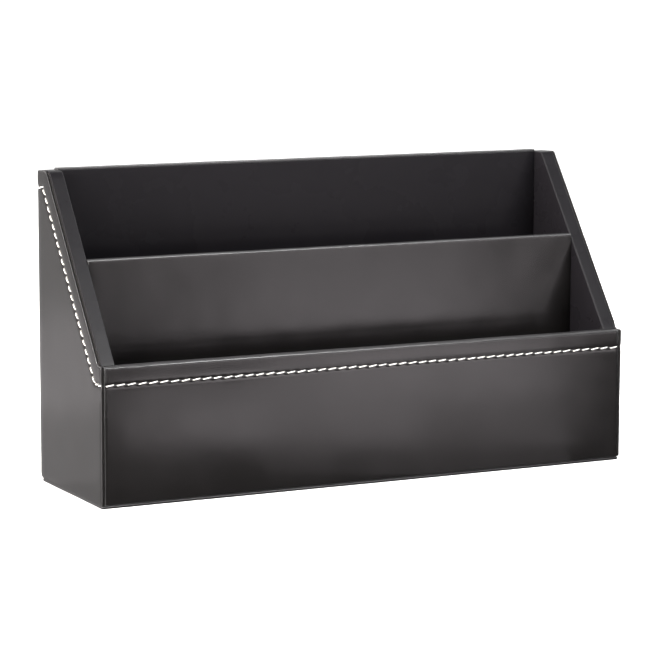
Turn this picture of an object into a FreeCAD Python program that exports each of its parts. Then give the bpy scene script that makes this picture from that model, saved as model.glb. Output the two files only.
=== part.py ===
"""Envelope sorter: a letter rack with two stepped pockets, made of boards covered in stitched leather.

The rack stands on the plane Z = 0 with its front towards -Y. The origin is the middle of its
footprint. All sizes are in millimetres.
"""
import FreeCAD, Part

import math
import os

import Sketcher

# name, value, what it is
SIZES = [
    ("overall_width", 280.0, "across both side panels, over the leather"),
    ("overall_depth", 77.0, "front leather to back leather"),
    ("side_height", 150.0, "top of the side panels"),
    ("back_rise", 1.0, "how far the back panel stands above the side panels"),
    ("rim_height", 66.0, "top of the front panel"),
    ("side_top_flat", 11.2, "level top of a side panel, behind its slope"),
    ("slope_foot", 3.4, "front of the rack to the foot of the slope"),
    ("leather_step", 1.0, "how far the outer leather of a side stops short of the slope"),
    ("divider_setback", 34.9, "front of the rack to the front of the divider"),
    ("divider_height", 111.0, "top of the divider"),
    ("divider_end_gap", 0.15, "divider end to side lining"),
    ("side_board", 6.5, "thickness of a side board"),
    ("front_board", 3.0, "thickness of the front board"),
    ("back_board", 3.0, "thickness of the back board"),
    ("divider_board", 3.5, "thickness of the divider board"),
    ("base_board", 3.0, "thickness of the base board"),
    ("outer_leather", 1.1, "thickness of the outer leather"),
    ("inner_lining", 0.8, "thickness of the linings"),
    ("base_sheet", 1.2, "thickness of the sheet under the rack"),
    ("corner_seam", 0.3, "gap between two outer leathers at an upright corner"),
    ("rim_stitch_drop", 8.3, "rim of the front panel to its stitch line"),
    ("top_stitch_drop", 8.1, "top of a side panel to its stitch line"),
    ("slope_stitch_inset", 8.3, "sloping edge of a side's leather to its stitch line"),
    ("rim_stitch_pitch", 5.42, "one stitch to the next on the front and the back"),
    ("slope_stitch_pitch", 4.9, "one stitch to the next on the sides"),
    ("stitch_space", 0.6, "end of one stitch to the start of the next"),
    ("stitch_slant", 8.0, "turn of each stitch from its line, in degrees"),
    ("stitch_end_margin", 0.3, "end of a stitch line to the upright edge of its leather"),
    ("thread_width", 0.9, "width of the thread"),
    ("thread_proud", 0.5, "how far the thread stands out of the leather"),
]

# Planes and thicknesses that several pieces share, as expressions on the sheet.
FRONT_WALL = "(sizes.outer_leather + sizes.front_board + sizes.inner_lining)"
BACK_WALL = "(sizes.outer_leather + sizes.back_board + sizes.inner_lining)"
SIDE_WALL = "(sizes.outer_leather + sizes.side_board + sizes.inner_lining)"
DIVIDER_WALL = "(sizes.divider_board + 2 * sizes.inner_lining)"

BOARD_HALF_WIDTH = "(sizes.overall_width / 2 - sizes.outer_leather)"
INNER_HALF_WIDTH = f"(sizes.overall_width / 2 - {SIDE_WALL})"

FRONT_Y = "(-sizes.overall_depth / 2)"
BACK_Y = "(sizes.overall_depth / 2)"
FRONT_LINED_Y = f"({FRONT_Y} + {FRONT_WALL})"
BACK_LINED_Y = f"({BACK_Y} - {BACK_WALL})"
DIVIDER_FRONT_Y = f"({FRONT_Y} + sizes.divider_setback)"
DIVIDER_BACK_Y = f"({DIVIDER_FRONT_Y} + {DIVIDER_WALL})"

SHEET_TOP_Z = "sizes.base_sheet"
FLOOR_Z = "(sizes.base_sheet + sizes.base_board)"
BACK_TOP_Z = "(sizes.side_height + sizes.back_rise)"

# The slope of the side panels runs from its foot over the front rim to the level top.
SLOPE_FOOT_Y = f"({FRONT_Y} + sizes.slope_foot)"
SLOPE_RUN = f"({BACK_Y} - sizes.side_top_flat - {SLOPE_FOOT_Y})"
SLOPE_RISE = "(sizes.side_height - sizes.rim_height)"
SLOPE_LENGTH = f"sqrt({SLOPE_RUN} * {SLOPE_RUN} + {SLOPE_RISE} * {SLOPE_RISE})"

doc = FreeCAD.newDocument("envelope_sorter")
sheet = doc.addObject("Spreadsheet::Sheet", "sizes")
pieces = []


def fill_sheet():
    """Write each size, its alias and its meaning in a row of the sheet."""
    for row, (name, value, meaning) in enumerate(SIZES, start=1):
        sheet.set(f"A{row}", name)
        sheet.set(f"B{row}", str(value))
        sheet.setAlias(f"B{row}", name)
        sheet.set(f"C{row}", meaning)
    doc.recompute()


def slope_y(inset, height):
    """Y of the sloping edge, moved in by inset, at a height. All are expressions."""
    return (
        f"({SLOPE_FOOT_Y} + {inset} * {SLOPE_LENGTH} / {SLOPE_RISE}"
        f" + ({height} - sizes.rim_height) * {SLOPE_RUN} / {SLOPE_RISE})"
    )


def slope_z(inset, depth):
    """Height of the sloping edge, moved in by inset, at a Y of depth. All are expressions."""
    return (
        f"(sizes.rim_height + ({depth} - {SLOPE_FOOT_Y}) * {SLOPE_RISE} / {SLOPE_RUN}"
        f" - {inset} * {SLOPE_LENGTH} / {SLOPE_RUN})"
    )


def block(name, low, high):
    """A rectangular board between two corners, each given as three expressions."""
    box = doc.addObject("Part::Box", name)
    for axis, side, start, end in zip("xyz", ("Length", "Width", "Height"), low, high):
        box.setExpression(side, f"{end} - {start}")
        box.setExpression(f"Placement.Base.{axis}", start)
    pieces.append(box)
    return box


def origin_plane(body, role):
    """The plane of the body's own origin that has this role."""
    return next(plane for plane in body.Origin.OriginFeatures if plane.Role == role)


def outline(body, name, corners):
    """A closed sketch in the body's YZ plane, with its corners at pairs of expressions."""
    sketch = body.newObject("Sketcher::SketchObject", name)
    sketch.AttachmentSupport = [(origin_plane(body, "YZ_Plane"), "")]
    sketch.MapMode = "FlatFace"
    count = len(corners)
    turn = 2 * math.pi / count
    spots = [FreeCAD.Vector(-math.cos(turn * i), math.sin(turn * i), 0) for i in range(count)]
    for i in range(count):
        sketch.addGeometry(Part.LineSegment(spots[i], spots[(i + 1) % count]), False)
    for i in range(count):
        sketch.addConstraint(Sketcher.Constraint("Coincident", i, 2, (i + 1) % count, 1))
    for i, (depth, height) in enumerate(corners):
        for kind, place in (("DistanceX", depth), ("DistanceY", height)):
            number = sketch.addConstraint(Sketcher.Constraint(kind, -1, 1, i, 1, 1.0))
            sketch.setExpression(f"Constraints[{number}]", place)
    return sketch


def pad(body, name, corners, start_x, end_x):
    """Pad an outline of the YZ plane from one X to another, both expressions."""
    sketch = outline(body, f"{name}_outline", corners)
    sketch.setExpression("AttachmentOffset.Base.z", start_x)
    feature = body.newObject("PartDesign::Pad", name)
    feature.Profile = sketch
    feature.setExpression("Length", f"{end_x} - {start_x}")
    return feature


def new_body(name):
    """A body that becomes one piece of the rack."""
    body = doc.addObject("PartDesign::Body", name)
    pieces.append(body)
    return body


def side_corners():
    """Outline of a side's outer leather: upright front, level rim, slope, level top."""
    return [
        (FRONT_Y, SHEET_TOP_Z),
        (FRONT_Y, "sizes.rim_height"),
        (slope_y("sizes.leather_step", "sizes.rim_height"), "sizes.rim_height"),
        (slope_y("sizes.leather_step", "sizes.side_height"), "sizes.side_height"),
        (BACK_Y, "sizes.side_height"),
        (BACK_Y, SHEET_TOP_Z),
    ]


def side_board_corners():
    """Outline of a side board, which butts against the lined front and takes the edge lining."""
    top = "(sizes.side_height - sizes.inner_lining)"
    back = f"({BACK_Y} - sizes.outer_leather)"
    return [
        (FRONT_LINED_Y, SHEET_TOP_Z),
        (FRONT_LINED_Y, slope_z("sizes.inner_lining", FRONT_LINED_Y)),
        (slope_y("sizes.inner_lining", top), top),
        (back, top),
        (back, SHEET_TOP_Z),
    ]


def edge_lining_corners():
    """Outline of the lining that is turned over the slope and the top, with its tip on the rim."""
    top = "(sizes.side_height - sizes.inner_lining)"
    back = f"({BACK_Y} - sizes.outer_leather)"
    return [
        (FRONT_LINED_Y, slope_z("sizes.inner_lining", FRONT_LINED_Y)),
        (FRONT_LINED_Y, "sizes.rim_height"),
        (SLOPE_FOOT_Y, "sizes.rim_height"),
        (slope_y("0", "sizes.side_height"), "sizes.side_height"),
        (back, "sizes.side_height"),
        (back, top),
        (slope_y("sizes.inner_lining", top), top),
    ]


def side_lining_corners():
    """Outline of the flat part of a side lining, with the turned edge included."""
    back = f"({BACK_Y} - sizes.outer_leather)"
    return [
        (FRONT_LINED_Y, SHEET_TOP_Z),
        (FRONT_LINED_Y, "sizes.rim_height"),
        (SLOPE_FOOT_Y, "sizes.rim_height"),
        (slope_y("0", "sizes.side_height"), "sizes.side_height"),
        (back, "sizes.side_height"),
        (back, SHEET_TOP_Z),
    ]


def make_side(hand, sign):
    """Board, outer leather and lining of one side panel. The sign is -1 on the left."""
    skin_x = "sizes.overall_width / 2"
    layers = {
        "outer_leather": (BOARD_HALF_WIDTH, skin_x),
        "side_board": (f"({BOARD_HALF_WIDTH} - sizes.side_board)", BOARD_HALF_WIDTH),
        "inner_lining": (INNER_HALF_WIDTH, f"({INNER_HALF_WIDTH} + sizes.inner_lining)"),
        "turned_edge": (f"({BOARD_HALF_WIDTH} - sizes.side_board)", BOARD_HALF_WIDTH),
    }
    spans = {
        part: (near, far) if sign > 0 else (f"-{far}", f"-{near}")
        for part, (near, far) in layers.items()
    }
    board = new_body(f"{hand}_side_board")
    pad(board, f"{hand}_board_pad", side_board_corners(), *spans["side_board"])
    leather = new_body(f"{hand}_outer_leather")
    pad(leather, f"{hand}_leather_pad", side_corners(), *spans["outer_leather"])
    lining = new_body(f"{hand}_inner_lining")
    pad(lining, f"{hand}_lining_pad", side_lining_corners(), *spans["inner_lining"])
    pad(lining, f"{hand}_edge_pad", edge_lining_corners(), *spans["turned_edge"])


def make_front():
    """Front board, its lining, and the outer leather that is folded over the rim."""
    board_front = f"({FRONT_Y} + sizes.outer_leather)"
    board_back = f"({board_front} + sizes.front_board)"
    under_fold = "(sizes.rim_height - sizes.outer_leather)"
    block(
        "front_board",
        (f"-{BOARD_HALF_WIDTH}", board_front, SHEET_TOP_Z),
        (BOARD_HALF_WIDTH, board_back, under_fold),
    )
    block(
        "front_inner_lining",
        (f"-{BOARD_HALF_WIDTH}", board_back, SHEET_TOP_Z),
        (BOARD_HALF_WIDTH, FRONT_LINED_Y, under_fold),
    )
    leather = new_body("front_outer_leather")
    seam_x = f"({BOARD_HALF_WIDTH} - sizes.corner_seam)"
    folded = [
        (FRONT_Y, SHEET_TOP_Z),
        (FRONT_Y, "sizes.rim_height"),
        (FRONT_LINED_Y, "sizes.rim_height"),
        (FRONT_LINED_Y, under_fold),
        (board_front, under_fold),
        (board_front, SHEET_TOP_Z),
    ]
    pad(leather, "front_leather_pad", folded, f"-{seam_x}", seam_x)


def make_back():
    """Back board between the sides, its lining, and the outer leather folded over its top."""
    board_back = f"({BACK_Y} - sizes.outer_leather)"
    board_front = f"({board_back} - sizes.back_board)"
    under_fold = f"({BACK_TOP_Z} - sizes.outer_leather)"
    block(
        "back_board",
        (f"-{INNER_HALF_WIDTH}", board_front, SHEET_TOP_Z),
        (INNER_HALF_WIDTH, board_back, under_fold),
    )
    block(
        "back_inner_lining",
        (f"-{INNER_HALF_WIDTH}", BACK_LINED_Y, SHEET_TOP_Z),
        (INNER_HALF_WIDTH, board_front, under_fold),
    )
    leather = new_body("back_outer_leather")
    seam_x = f"({BOARD_HALF_WIDTH} - sizes.corner_seam)"
    flat = [
        (board_back, SHEET_TOP_Z),
        (board_back, "sizes.side_height"),
        (BACK_Y, "sizes.side_height"),
        (BACK_Y, SHEET_TOP_Z),
    ]
    fold = [
        (BACK_LINED_Y, under_fold),
        (BACK_LINED_Y, BACK_TOP_Z),
        (BACK_Y, BACK_TOP_Z),
        (BACK_Y, "(sizes.side_height - sizes.outer_leather)"),
        (board_back, "(sizes.side_height - sizes.outer_leather)"),
        (board_back, under_fold),
    ]
    pad(leather, "back_leather_pad", flat, f"-{seam_x}", seam_x)
    pad(leather, "back_fold_pad", fold, f"-{INNER_HALF_WIDTH}", INNER_HALF_WIDTH)


def make_divider():
    """Divider board on the base board, and the leather folded over it."""
    end_x = f"({INNER_HALF_WIDTH} - sizes.divider_end_gap)"
    board_front = f"({DIVIDER_FRONT_Y} + sizes.inner_lining)"
    board_back = f"({DIVIDER_BACK_Y} - sizes.inner_lining)"
    under_fold = "(sizes.divider_height - sizes.inner_lining)"
    block(
        "divider_board",
        (f"-{end_x}", board_front, FLOOR_Z),
        (end_x, board_back, under_fold),
    )
    leather = new_body("divider_leather")
    folded = [
        (DIVIDER_FRONT_Y, FLOOR_Z),
        (DIVIDER_FRONT_Y, "sizes.divider_height"),
        (DIVIDER_BACK_Y, "sizes.divider_height"),
        (DIVIDER_BACK_Y, FLOOR_Z),
        (board_back, FLOOR_Z),
        (board_back, under_fold),
        (board_front, under_fold),
        (board_front, FLOOR_Z),
    ]
    pad(leather, "divider_leather_pad", folded, f"-{end_x}", end_x)


def make_base():
    """Sheet under the rack, base board between the lined walls, and the two pocket floors."""
    block(
        "base_sheet",
        ("-sizes.overall_width / 2", FRONT_Y, "0"),
        ("sizes.overall_width / 2", BACK_Y, SHEET_TOP_Z),
    )
    block(
        "base_board",
        (f"-{INNER_HALF_WIDTH}", FRONT_LINED_Y, SHEET_TOP_Z),
        (INNER_HALF_WIDTH, BACK_LINED_Y, FLOOR_Z),
    )
    floor_top = f"({FLOOR_Z} + sizes.inner_lining)"
    block(
        "front_pocket_floor",
        (f"-{INNER_HALF_WIDTH}", FRONT_LINED_Y, FLOOR_Z),
        (INNER_HALF_WIDTH, DIVIDER_FRONT_Y, floor_top),
    )
    block(
        "rear_pocket_floor",
        (f"-{INNER_HALF_WIDTH}", DIVIDER_BACK_Y, FLOOR_Z),
        (INNER_HALF_WIDTH, BACK_LINED_Y, floor_top),
    )


def size(name):
    """The value of one size, read from the sheet."""
    return float(sheet.get(name))


def stitch(middle, along, out, length):
    """One stitch: a flat-backed bar with round ends that lies on the leather."""
    to_tip = along * (length / 2)
    to_bend = along * ((length - size("thread_width")) / 2)
    to_flank = out.cross(along) * (size("thread_width") / 2)
    start_upper = middle - to_bend + to_flank
    start_lower = middle - to_bend - to_flank
    end_upper = middle + to_bend + to_flank
    end_lower = middle + to_bend - to_flank
    edges = [
        Part.Arc(start_upper, middle - to_tip, start_lower).toShape(),
        Part.LineSegment(start_lower, end_lower).toShape(),
        Part.Arc(end_lower, middle + to_tip, end_upper).toShape(),
        Part.LineSegment(end_upper, start_upper).toShape(),
    ]
    return Part.Face(Part.Wire(edges)).extrude(out * size("thread_proud"))


def stitch_row(start, end, out, pitch):
    """Evenly spaced slanted stitches from one point to another on a leather face."""
    span = end - start
    count = max(1, round(span.Length / pitch))
    step = span / count
    slant = FreeCAD.Rotation(out, size("stitch_slant"))
    along = slant.multVec(FreeCAD.Vector(span).normalize())
    length = step.Length - size("stitch_space")
    return [stitch(start + step * (i + 0.5), along, out, length) for i in range(count)]


def stitched_node(name, rows):
    """A node that holds the stitches of one panel as separate solids."""
    thread = doc.addObject("Part::Feature", name)
    thread.Shape = Part.makeCompound(rows)
    pieces.append(thread)


def make_stitching():
    """Stitches along the hem of the front, the back and both sides."""
    half_width = size("overall_width") / 2
    half_depth = size("overall_depth") / 2
    margin = size("stitch_end_margin")
    reach = half_width - size("outer_leather") - size("corner_seam") - margin
    rim_z = size("rim_height") - size("rim_stitch_drop")
    top_z = size("side_height") - size("top_stitch_drop")
    rim_pitch = size("rim_stitch_pitch")
    slope_pitch = size("slope_stitch_pitch")

    foot_y = size("slope_foot") - half_depth
    run = half_depth - size("side_top_flat") - foot_y
    rise = size("side_height") - size("rim_height")
    inset = (size("leather_step") + size("slope_stitch_inset")) * math.hypot(run, rise) / rise

    def inset_slope_y(height):
        return foot_y + inset + (height - size("rim_height")) * run / rise

    for name, facing, height in (("front_stitching", -1, rim_z), ("back_stitching", 1, top_z)):
        start = FreeCAD.Vector(facing * reach, facing * half_depth, height)
        end = FreeCAD.Vector(-facing * reach, facing * half_depth, height)
        stitched_node(name, stitch_row(start, end, FreeCAD.Vector(0, facing, 0), rim_pitch))
    for hand, sign in (("left", -1), ("right", 1)):
        path = [
            (half_depth - margin, top_z),
            (inset_slope_y(top_z), top_z),
            (inset_slope_y(rim_z), rim_z),
            (margin - half_depth, rim_z),
        ]
        points = [FreeCAD.Vector(sign * half_width, depth, height) for depth, height in path]
        row = []
        for start, end in zip(points, points[1:]):
            row += stitch_row(start, end, FreeCAD.Vector(sign, 0, 0), slope_pitch)
        stitched_node(f"{hand}_stitching", row)


def check_document():
    """Stop if an object failed or a piece has no valid solid."""
    for item in doc.Objects:
        if "Invalid" in item.State or "Error" in item.State:
            raise RuntimeError(f"{item.Label} failed: {item.State}")
    for piece in pieces:
        shape = piece.Shape
        if shape.isNull() or not shape.isValid() or not shape.Solids:
            raise RuntimeError(f"{piece.Label} has no valid solid")


fill_sheet()
make_side("left", -1)
make_side("right", 1)
make_front()
make_back()
make_divider()
make_base()
make_stitching()
doc.recompute()
check_document()
os.makedirs("parts", exist_ok=True)
for piece in pieces:
    piece.Shape.exportStep(f"parts/{piece.Label}.step")
    print(f"{piece.Label:22s} {len(piece.Shape.Solids):3d} solids {piece.Shape.Volume:10.1f} mm3")
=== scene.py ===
"""Envelope sorter: a letter rack with two stepped pockets, made of boards covered in stitched leather.

The rack stands on Z = 0 with its front towards -Y. Pieces are shaped in millimetres and end up in metres.
"""

import math
import random

import bmesh
import bpy
from mathutils import Matrix, Quaternion, Vector, noise


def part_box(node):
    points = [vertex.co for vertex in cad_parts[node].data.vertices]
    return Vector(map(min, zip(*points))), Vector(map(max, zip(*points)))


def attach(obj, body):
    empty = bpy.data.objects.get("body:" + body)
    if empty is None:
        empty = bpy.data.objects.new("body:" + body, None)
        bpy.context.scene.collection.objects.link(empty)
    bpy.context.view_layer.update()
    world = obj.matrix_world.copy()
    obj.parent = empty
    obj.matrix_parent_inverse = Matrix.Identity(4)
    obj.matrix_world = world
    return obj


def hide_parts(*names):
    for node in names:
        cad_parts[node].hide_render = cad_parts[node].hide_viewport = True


bl_info = {
    "name": "Envelope sorter",
    "version": (1, 0, 0),
    "blender": (4, 5, 0),
    "location": "3D Viewport > Sidebar > Rack",
    "description": "Leather, stitching and stage for an envelope sorter",
    "category": "Object",
}

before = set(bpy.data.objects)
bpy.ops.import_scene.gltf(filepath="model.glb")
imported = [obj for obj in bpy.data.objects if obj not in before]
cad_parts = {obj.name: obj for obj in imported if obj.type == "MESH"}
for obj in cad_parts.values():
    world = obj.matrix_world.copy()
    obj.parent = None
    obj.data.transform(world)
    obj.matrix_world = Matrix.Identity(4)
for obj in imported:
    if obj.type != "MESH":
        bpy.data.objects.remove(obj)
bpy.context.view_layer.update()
MM = 0.001
# How close to a face counts as on it, in millimetres.
TOUCH = 0.01


def linear(text):
    """An sRGB hex colour as linear red, green and blue."""
    parts = [int(text[i : i + 2], 16) / 255 for i in (1, 3, 5)]
    return tuple(c / 12.92 if c <= 0.04045 else ((c + 0.055) / 1.055) ** 2.4 for c in parts)


def node_box(node):
    """Lowest and highest corner of a CAD node, in millimetres."""
    low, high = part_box(node)
    return low / MM, high / MM


# The faces that the pieces share, in millimetres, read from the CAD nodes.
SIDE_LOW, SIDE_HIGH = node_box("right_outer_leather")
LINING_LOW, LINING_HIGH = node_box("right_inner_lining")
FOLD_HIGH = node_box("front_outer_leather")[1]
BACK_LOW, BACK_HIGH = node_box("back_outer_leather")
DIVIDER_LOW, DIVIDER_HIGH = node_box("divider_leather")
HALF_WIDTH = SIDE_HIGH.x
BOARD_X = SIDE_LOW.x
INNER_X = LINING_LOW.x
SEAM_X = FOLD_HIGH.x
FRONT_Y = SIDE_LOW.y
BACK_Y = SIDE_HIGH.y
LINED_FRONT_Y = FOLD_HIGH.y
LINED_BACK_Y = BACK_LOW.y
SHEET_Z = SIDE_LOW.z
RIM_Z = FOLD_HIGH.z
SIDE_TOP_Z = SIDE_HIGH.z
BACK_TOP_Z = BACK_HIGH.z
LEATHER = HALF_WIDTH - BOARD_X
LINING = node_box("divider_board")[0].y - DIVIDER_LOW.y


def slope_ends(node):
    """Y of a sloping edge of a CAD node at the height of the rim, and at its top."""
    places = [v.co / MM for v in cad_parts[node].data.vertices]
    top = [p.y for p in places if p.z > SIDE_TOP_Z - TOUCH]
    rim = [p.y for p in places if abs(p.z - RIM_Z) < TOUCH]
    return (max(rim) if node.endswith("outer_leather") else min(rim)), min(top)


# The sloping edge of the board's lining, and that of the outer leather, which stops short of it.
LINING_FOOT_Y, LINING_FLAT_Y = slope_ends("right_inner_lining")
LEATHER_FOOT_Y, LEATHER_FLAT_Y = slope_ends("right_outer_leather")
SLOPE_NORMAL = Vector((0, RIM_Z - SIDE_TOP_Z, LINING_FLAT_Y - LINING_FOOT_Y)).normalized()


# ---------------------------------------------------------------- settings


def colour_setting(name, description, text):
    """A colour setting, with its default as an sRGB hex colour."""
    return bpy.props.FloatVectorProperty(
        name=name, description=description, subtype="COLOR", min=0, max=1, default=linear(text),
    )


class RackLeather(bpy.types.PropertyGroup):
    """Colours and folds of the leather."""

    outer_colour: colour_setting("Outer leather", "Colour of the outer leather", "#0e0d0d")
    lining_colour: colour_setting("Lining", "Colour of the leather inside the pockets", "#0f0e10")
    # Paler colour of folds and rims: partly wear, partly a painted highlight along edges and rim tops.
    wear_and_highlight_colour: colour_setting("Rubbed folds", "Colour of rubbed folds and rims", "#323233")
    cut_colour: colour_setting("Cut edge", "Colour of the leather's cut edges", "#171413")
    board_colour: colour_setting("Boards", "Colour of the dyed boards under the leather", "#181514")
    grain: bpy.props.FloatProperty(
        name="Grain", description="Width of one pebble of the grain, in millimetres",
        min=0.3, max=3, default=0.9,
    )
    fold_radius: bpy.props.FloatProperty(
        name="Fold radius", description="Outer radius where leather is folded over a board, in millimetres",
        min=1.2, max=1.35, default=1.3,
    )
    edge_radius: bpy.props.FloatProperty(
        name="Edge radius", description="Rounding of the side leather's rim, in millimetres",
        min=0.2, max=0.9, default=0.4,
    )
    hem_crown: bpy.props.FloatProperty(
        name="Hem crown", description="How far the stitched hem swells, in millimetres",
        min=0, max=0.45, default=0.13,
    )
    stitch_groove: bpy.props.FloatProperty(
        name="Stitch groove", description="How deep the stitches pull the leather in, in millimetres",
        min=0, max=0.5, default=0.2,
    )
    waviness: bpy.props.FloatProperty(
        name="Waviness", description="Height of the soft waves in the leather, in millimetres",
        min=0, max=0.4, default=0.1,
    )


class RackStitching(bpy.types.PropertyGroup):
    """Sizes and colour of the white stitches."""

    colour: colour_setting("Thread", "Colour of the thread", "#d9d7d1")
    width: bpy.props.FloatProperty(
        name="Thread width", description="Width of the thread, in millimetres",
        min=0.4, max=1.5, default=0.54,
    )
    rim_pitch: bpy.props.FloatProperty(
        name="Front and back pitch",
        description="One stitch to the next on the front and the back, in millimetres",
        min=3, max=9, default=5.42,
    )
    slope_pitch: bpy.props.FloatProperty(
        name="Side pitch", description="One stitch to the next on the sides, in millimetres",
        min=3, max=9, default=4.9,
    )
    space: bpy.props.FloatProperty(
        name="Space", description="End of one stitch to the start of the next, in millimetres",
        min=0.2, max=2, default=1.1,
    )
    slant: bpy.props.FloatProperty(
        name="Slant", description="Turn of each stitch from its line",
        subtype="ANGLE", min=0, max=0.5, default=math.radians(9),
    )
    rim_drop: bpy.props.FloatProperty(
        name="Front drop", description="Front rim to its stitch line, in millimetres",
        min=4, max=15, default=8.75,
    )
    top_drop: bpy.props.FloatProperty(
        name="Top drop", description="Top of the sides to their stitch line, in millimetres",
        min=4, max=15, default=8.1,
    )
    slope_inset: bpy.props.FloatProperty(
        name="Slope inset", description="Sloping edge of the side leather to its stitch line, in millimetres",
        min=4, max=15, default=7.7,
    )
    end_margin: bpy.props.FloatProperty(
        name="End margin", description="End of a stitch line to the upright edge, in millimetres",
        min=0, max=3, default=0.3,
    )


class RackStage(bpy.types.PropertyGroup):
    """Floor, light and camera."""

    floor_colour: colour_setting("Floor", "Colour of the floor", "#fbfbfb")
    camera_place: bpy.props.FloatVectorProperty(
        name="Camera", description="Place of the camera", subtype="TRANSLATION", unit="LENGTH",
        default=(-0.62719, -1.22527, 0.26999),
    )
    camera_target: bpy.props.FloatVectorProperty(
        name="Target", description="Point the camera looks at", subtype="TRANSLATION", unit="LENGTH",
        default=(-0.02317, -0.0385, 0.07590),
    )
    camera_roll: bpy.props.FloatProperty(
        name="Roll", description="Turn of the camera about its own line",
        subtype="ANGLE", default=math.radians(0.205),
    )
    lens: bpy.props.FloatProperty(
        name="Lens", description="Focal length, in millimetres", min=20, max=400, default=155.25,
    )
    room_top: bpy.props.FloatProperty(
        name="Room light from above", description="Brightness of the white ceiling", min=0, default=2.05,
    )
    room_back: bpy.props.FloatProperty(
        name="Room light from behind", description="Brightness of the white wall behind the rack",
        min=0, default=0.92,
    )
    lamps: bpy.props.FloatProperty(
        name="Lamps", description="Power of the soft lights, as a share of their usual power",
        min=0, default=1.0,
    )
    sheen: bpy.props.FloatProperty(
        name="Sheen", description="Brightness of the reflectors that only show as a sheen on the leather",
        min=0, default=1.0,
    )


# ---------------------------------------------------------------- materials


def add(tree, kind, settings=None, inputs=None):
    """Add a node with its settings, and its inputs as values or links."""
    node = tree.nodes.new(kind)
    for name, value in (settings or {}).items():
        setattr(node, name, value)
    for socket, value in (inputs or {}).items():
        if isinstance(value, bpy.types.NodeSocket):
            tree.links.new(value, node.inputs[socket])
        else:
            node.inputs[socket].default_value = value
    return node


def new_material(name):
    """An empty node material with its output node."""
    material = bpy.data.materials.new(name)
    material.use_nodes = True
    material.node_tree.nodes.clear()
    return material, material.node_tree, add(material.node_tree, "ShaderNodeOutputMaterial")


def per_metre(width):
    """Noise scale that gives features of this width, in millimetres."""
    return 1 / (width * MM)


def bonded_leather(name, colour, grain, rough, shine, wear_and_highlight_colour):
    """Bonded leather with a pressed grain: a satin skin, faint pebbles, a few creases, and folds painted
    paler, partly as wear and partly as a painted highlight.
    """
    material, tree, output = new_material(name)
    place = add(tree, "ShaderNodeTexCoord").outputs["Object"]
    # Pressed pebbles: shallow cells with fine pores between them.
    pebble = add(tree, "ShaderNodeTexVoronoi", {"feature": "SMOOTH_F1"},
                 {"Vector": place, "Scale": per_metre(grain), "Smoothness": 0.6}).outputs["Distance"]
    pores = add(tree, "ShaderNodeTexNoise", None,
                {"Vector": place, "Scale": per_metre(grain * 0.45), "Detail": 3.0,
                 "Roughness": 0.6}).outputs["Fac"]
    # Creases come in clusters where the leather was bent before it was glued down.
    stretched = add(tree, "ShaderNodeMapping", {"vector_type": "POINT"},
                    {"Vector": place, "Rotation": (0.3, 0.5, 0.2),
                     "Scale": (1.0, 1.0, 2.2)}).outputs["Vector"]
    crease = add(tree, "ShaderNodeTexNoise", {"noise_type": "RIDGED_MULTIFRACTAL"},
                 {"Vector": stretched, "Scale": per_metre(11), "Detail": 4.0,
                  "Distortion": 0.6}).outputs["Fac"]
    patches = add(tree, "ShaderNodeTexNoise", None,
                  {"Vector": place, "Scale": per_metre(55), "Detail": 1.0}).outputs["Fac"]
    clusters = add(tree, "ShaderNodeMapRange", {"interpolation_type": "SMOOTHSTEP"},
                   {"Value": patches, "From Min": 0.52, "From Max": 0.72}).outputs["Result"]
    folds = add(tree, "ShaderNodeMath", {"operation": "MULTIPLY"}, {0: crease, 1: clusters}).outputs[0]
    grain_height = add(tree, "ShaderNodeMath", {"operation": "MULTIPLY_ADD"},
                       {0: pores, 1: 0.8, 2: pebble}).outputs[0]
    height = add(tree, "ShaderNodeMath", {"operation": "MULTIPLY_ADD"},
                 {0: folds, 1: 1.1, 2: grain_height}).outputs[0]
    bump = add(tree, "ShaderNodeBump", None,
               {"Height": height, "Strength": 0.15, "Distance": 0.06 * MM}).outputs["Normal"]
    # Handling polishes the skin unevenly. Folds and rims are painted paler, partly as wear and partly as a
    # painted highlight.
    handled = add(tree, "ShaderNodeTexNoise", None,
                  {"Vector": place, "Scale": per_metre(24), "Detail": 4.0, "Roughness": 0.55}).outputs["Fac"]
    roughness = add(tree, "ShaderNodeMapRange", None,
                    {"Value": handled, "From Min": 0.3, "From Max": 0.7,
                     "To Min": rough - 0.03, "To Max": rough + 0.03}).outputs["Result"]
    wear_and_highlight_share = add(tree, "ShaderNodeAttribute", {"attribute_name": "wear_and_highlight_mask"}).outputs["Fac"]
    pale = (*(c * 1.4 for c in colour), 1)
    mottled = add(tree, "ShaderNodeMix", {"data_type": "RGBA"},
                  {"Factor": handled, "A": (*colour, 1), "B": pale}).outputs["Result"]
    tone = add(tree, "ShaderNodeMix", {"data_type": "RGBA"},
               {"Factor": wear_and_highlight_share, "A": mottled, "B": (*wear_and_highlight_colour, 1)}).outputs["Result"]
    skin = add(tree, "ShaderNodeBsdfPrincipled", None,
               {"Base Color": tone, "Roughness": roughness, "Normal": bump, "IOR": 1.5,
                "Specular IOR Level": shine}).outputs["BSDF"]
    tree.links.new(skin, output.inputs["Surface"])
    return material


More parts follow.
